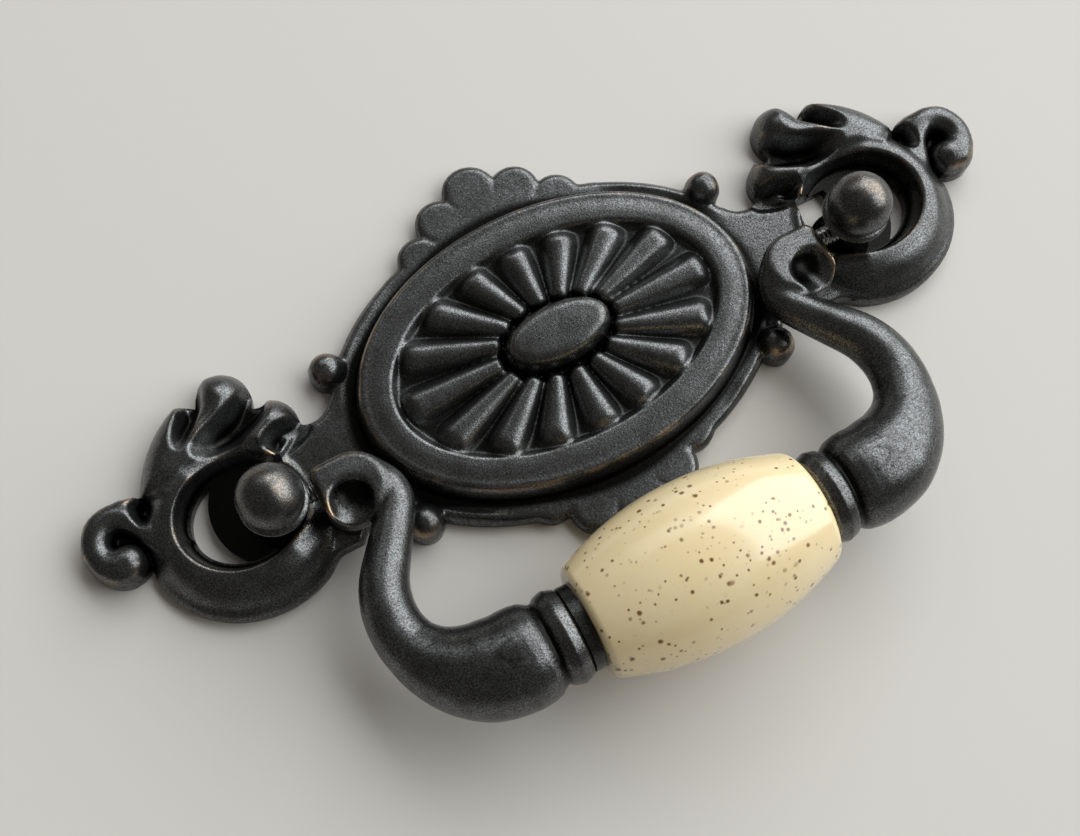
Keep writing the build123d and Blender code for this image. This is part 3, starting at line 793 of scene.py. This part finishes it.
low = np.array(arm_low)
counts = np.ceil((np.array(arm_high) - low) / arm_voxel).astype(int)
spans = [low[k] + arm_voxel * np.arange(counts[k], dtype=np.float32) for k in range(3)]
skin = arm_distance(*np.meshgrid(*spans, indexing="ij")).astype(np.float32)
skin = np.clip(skin, -skin_reach, skin_reach)
grid = openvdb.FloatGrid(background=float(skin_reach))
grid.copyFromArray(skin)
points, quads = grid.convertToQuads(isovalue=0.0)
# Wear and painted shade: proud edges come out positive for rubbed metal, creases and the eye negative for
# painted shade
smooth_skin = blur(skin, arm_wear_and_shade_blur, arm_voxel)
nearest = np.clip(np.round(points).astype(int), 0, np.array(skin.shape) - 1)
arm_wear_and_shade = (smooth_skin[tuple(nearest.T)] - arm_wear_and_shade_level) * arm_wear_and_shade_gain
local = points * arm_voxel + low
lift = np.array([[1, 0, 0], [0, np.cos(tilt), -np.sin(tilt)], [0, np.sin(tilt), np.cos(tilt)]])
right_points = local @ lift + (0, 0, pivot_height)
for side, node in ((-1, "left_arm"), (1, "right_arm")):
    faces = quads if side > 0 else quads[:, ::-1]
    arm = make_piece(node + "_casting", right_points * (side, 1, 1) * MM, faces.tolist(), arm_wear_and_shade)
    arm.data.materials.append(cast_metal)
    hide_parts(node)
    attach(arm, "bail")

# Bead rod: darkened steel, drawn in the plating and further darkened with painted shade, pressed into both
# collars, with the bead turning on it. A shoulder at its left end fills the room beside the bead and shares
# that painted shade.
rod_radius = 2.0
rod_half_length = 21.6
rod_spokes = 64
rod_shade = -0.3
bead_axis = (0, -bail_drop * np.cos(tilt), bead_height)
shoulder_radius = 5.0
shoulder_span = (-15.2, -13.9)
rod_profile = (
    (0, -rod_half_length), (rod_radius, -rod_half_length), (rod_radius, shoulder_span[0]),
    (shoulder_radius, shoulder_span[0]), (shoulder_radius, shoulder_span[1]), (rod_radius, shoulder_span[1]),
    (rod_radius, rod_half_length), (0, rod_half_length),
)
points, faces = turned(rod_profile, bead_axis, (1, 0, 0), rod_spokes)
rod = make_piece("bead_rod_steel", points * MM, faces.tolist(), np.full(len(points), rod_shade))
close_poles(rod)
rod.data.materials.append(cast_metal)
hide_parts("bead_rod")
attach(rod, "bail")

# Bead: a slip-cast ceramic barrel with brown iron specks under a clear glossy glaze. It is bored through for
# the rod, on which it turns, and its rounded ends carry on from the slope of the belly.
bead_radius = 9.6
bead_end_radius = 6.5
bead_half_length = 14.3
bead_shift = 0.5
bead_bore = 2.08
bead_spokes = 160
bead_edge_depth = 0.8
bead_edge_start = np.radians(25)
bead_bulge = bead_radius - bead_end_radius
bow = (bead_half_length**2 + bead_bulge**2) / (2 * bead_bulge)
belly = np.linspace(bead_edge_depth - bead_half_length, bead_half_length - bead_edge_depth, 120)
outer = np.column_stack([bead_radius - bow + np.sqrt(bow**2 - belly**2), belly])
edge_run = bead_edge_depth / (1 - np.sin(bead_edge_start))
edge_rise = edge_run * belly[-1] / np.sqrt(bow**2 - belly[-1] ** 2) / np.tan(bead_edge_start)
bend = np.linspace(bead_edge_start, np.pi / 2, 13)
ellipse = np.column_stack([edge_rise * np.cos(bend), edge_run * np.sin(bend)])
right_end = outer[-1] + ellipse[1:] - ellipse[0]
bead_profile = np.vstack([
    [[bead_bore, -bead_half_length]],
    right_end[::-1] * (1, -1),
    outer,
    right_end,
    [[bead_bore, bead_half_length], [bead_bore, -bead_half_length]],
])

# Glaze: specks are the cells of three layers, as (cells per metre, radius in cells, share of cells left bare)
cream_tones = ((0.88, 0.70, 0.40), (0.90, 0.73, 0.44))
cream_scale = 160
cream_range = (0.35, 0.65)
speck_brown = (0.20, 0.095, 0.03)
speck_layers = ((600, 0.24, 0.44), (880, 0.27, 0.42), (1300, 0.26, 0.56))
speck_core = 0.4
bare_fade = 0.05
cluster_scale = 230
cluster_range = (0.38, 0.50)
ragged_scale = 2600
ragged_reach = 0.0002
glaze_roughness = 0.22
coat_weight = 0.5
coat_roughness = 0.12

ceramic, nodes, links, shader = new_material("ceramic")
cream_cloud = ramp(nodes, links, noise(nodes, links, cream_scale, detail=3), *cream_range)
glaze = mix_color(nodes, links, cream_cloud, *cream_tones)
place = nodes.new("ShaderNodeTexCoord")
shiver = nodes.new("ShaderNodeTexNoise")
shiver.inputs["Scale"].default_value = ragged_scale
links.new(place.outputs["Object"], shiver.inputs["Vector"])
ragged = nodes.new("ShaderNodeVectorMath")
ragged.operation = "MULTIPLY_ADD"
ragged.inputs[1].default_value = (ragged_reach, ragged_reach, ragged_reach)
links.new(shiver.outputs["Color"], ragged.inputs[0])
links.new(place.outputs["Object"], ragged.inputs[2])
for scale, size, bare in speck_layers:
    cell = nodes.new("ShaderNodeTexVoronoi")
    cell.inputs["Scale"].default_value = scale
    links.new(ragged.outputs["Vector"], cell.inputs["Vector"])
    spot = ramp(nodes, links, cell.outputs["Distance"], size, size * speck_core)
    picked = ramp(nodes, links, cell.outputs["Color"], bare, bare + bare_fade)
    cluster = ramp(nodes, links, noise(nodes, links, cluster_scale, detail=2), *cluster_range)
    spot = times(nodes, links, times(nodes, links, spot, picked), cluster)
    glaze = mix_color(nodes, links, spot, glaze, speck_brown)
links.new(glaze, shader.inputs["Base Color"])
shader.inputs["Roughness"].default_value = glaze_roughness
shader.inputs["Coat Weight"].default_value = coat_weight
shader.inputs["Coat Roughness"].default_value = coat_roughness

points, faces = turned(bead_profile, (bead_axis[0] + bead_shift, *bead_axis[1:]), (1, 0, 0), bead_spokes)
bead = make_piece("ceramic_bead_barrel", points * MM, faces.tolist(), np.zeros(len(points)))
close_poles(bead)
bead.data.materials.append(ceramic)
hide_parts("ceramic_bead")
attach(bead, "bead")

# Floor: a plain pale board that the pull lies on, wide enough to fill the view. It lies a hair below the
# plate's back, so that the two faces don't flicker. Its sizes, the lamps' and the camera's are in metres.
floor_reach = 1.5
floor_drop = 0.00005
floor_color = (0.66, 0.625, 0.58, 1)
floor_roughness = 0.6
floor_mesh = bpy.data.meshes.new("floor")
floor_corners = ((-1, -1), (1, -1), (1, 1), (-1, 1))
floor_points = [(x * floor_reach, y * floor_reach, -floor_drop) for x, y in floor_corners]
floor_mesh.from_pydata(floor_points, [], [(0, 1, 2, 3)])
floor = bpy.data.objects.new("floor", floor_mesh)
bpy.context.scene.collection.objects.link(floor)
board, nodes, links, shader = new_material("board")
shader.inputs["Base Color"].default_value = floor_color
shader.inputs["Roughness"].default_value = floor_roughness
floor_mesh.materials.append(board)

# Light: a broad window to the right and a softer one beyond, with a dim even room. Each window is a
# rectangular lamp that faces the middle of the pull: (name, place, size, watts, colour).
scene = bpy.context.scene
windows = (
    ("window", (2.34, 0.42, 1.83), (5.7, 3.0), 205.0, (0.93, 0.975, 1.0)),
    ("far_window", (0.30, 1.98, 1.65), (1.8, 1.2), 7.0, (0.94, 0.97, 1.0)),
)
room_color = (1.0, 0.95, 0.86, 1)
room_strength = 0.13
for name, place, size, watts, color in windows:
    data = bpy.data.lights.new(name, "AREA")
    data.shape = "RECTANGLE"
    data.size, data.size_y = size
    data.energy = watts
    data.color = color
    lamp = bpy.data.objects.new(name, data)
    lamp.location = place
    lamp.rotation_euler = (-Vector(place)).to_track_quat("-Z", "Y").to_euler()
    scene.collection.objects.link(lamp)
scene.world = bpy.data.worlds.new("room")
scene.world.use_nodes = True
room = scene.world.node_tree.nodes["Background"]
room.inputs["Color"].default_value = room_color
room.inputs["Strength"].default_value = room_strength

# Camera: above the lower left of the pull and looking down on it, turned so that the pull lies at a slant.
# Its place and three directions make up its matrix; the lens and sensor are in mm.
camera_place = (-0.03195, -0.04138, 0.16041)
camera_right = (0.88206, -0.47010, 0.03119)
camera_up = (0.44422, 0.85191, 0.27734)
camera_back = (-0.15695, -0.23077, 0.96027)
camera_data = bpy.data.cameras.new("camera")
camera_data.sensor_width = 36.0
camera_data.lens = 46.26
camera_data.clip_start = 0.01
camera = bpy.data.objects.new("camera", camera_data)
camera_turn = Matrix((camera_right, camera_up, camera_back)).transposed().to_4x4()
camera.matrix_world = Matrix.Translation(camera_place) @ camera_turn
scene.collection.objects.link(camera)
scene.camera = camera
scene.view_settings.view_transform = "Standard"
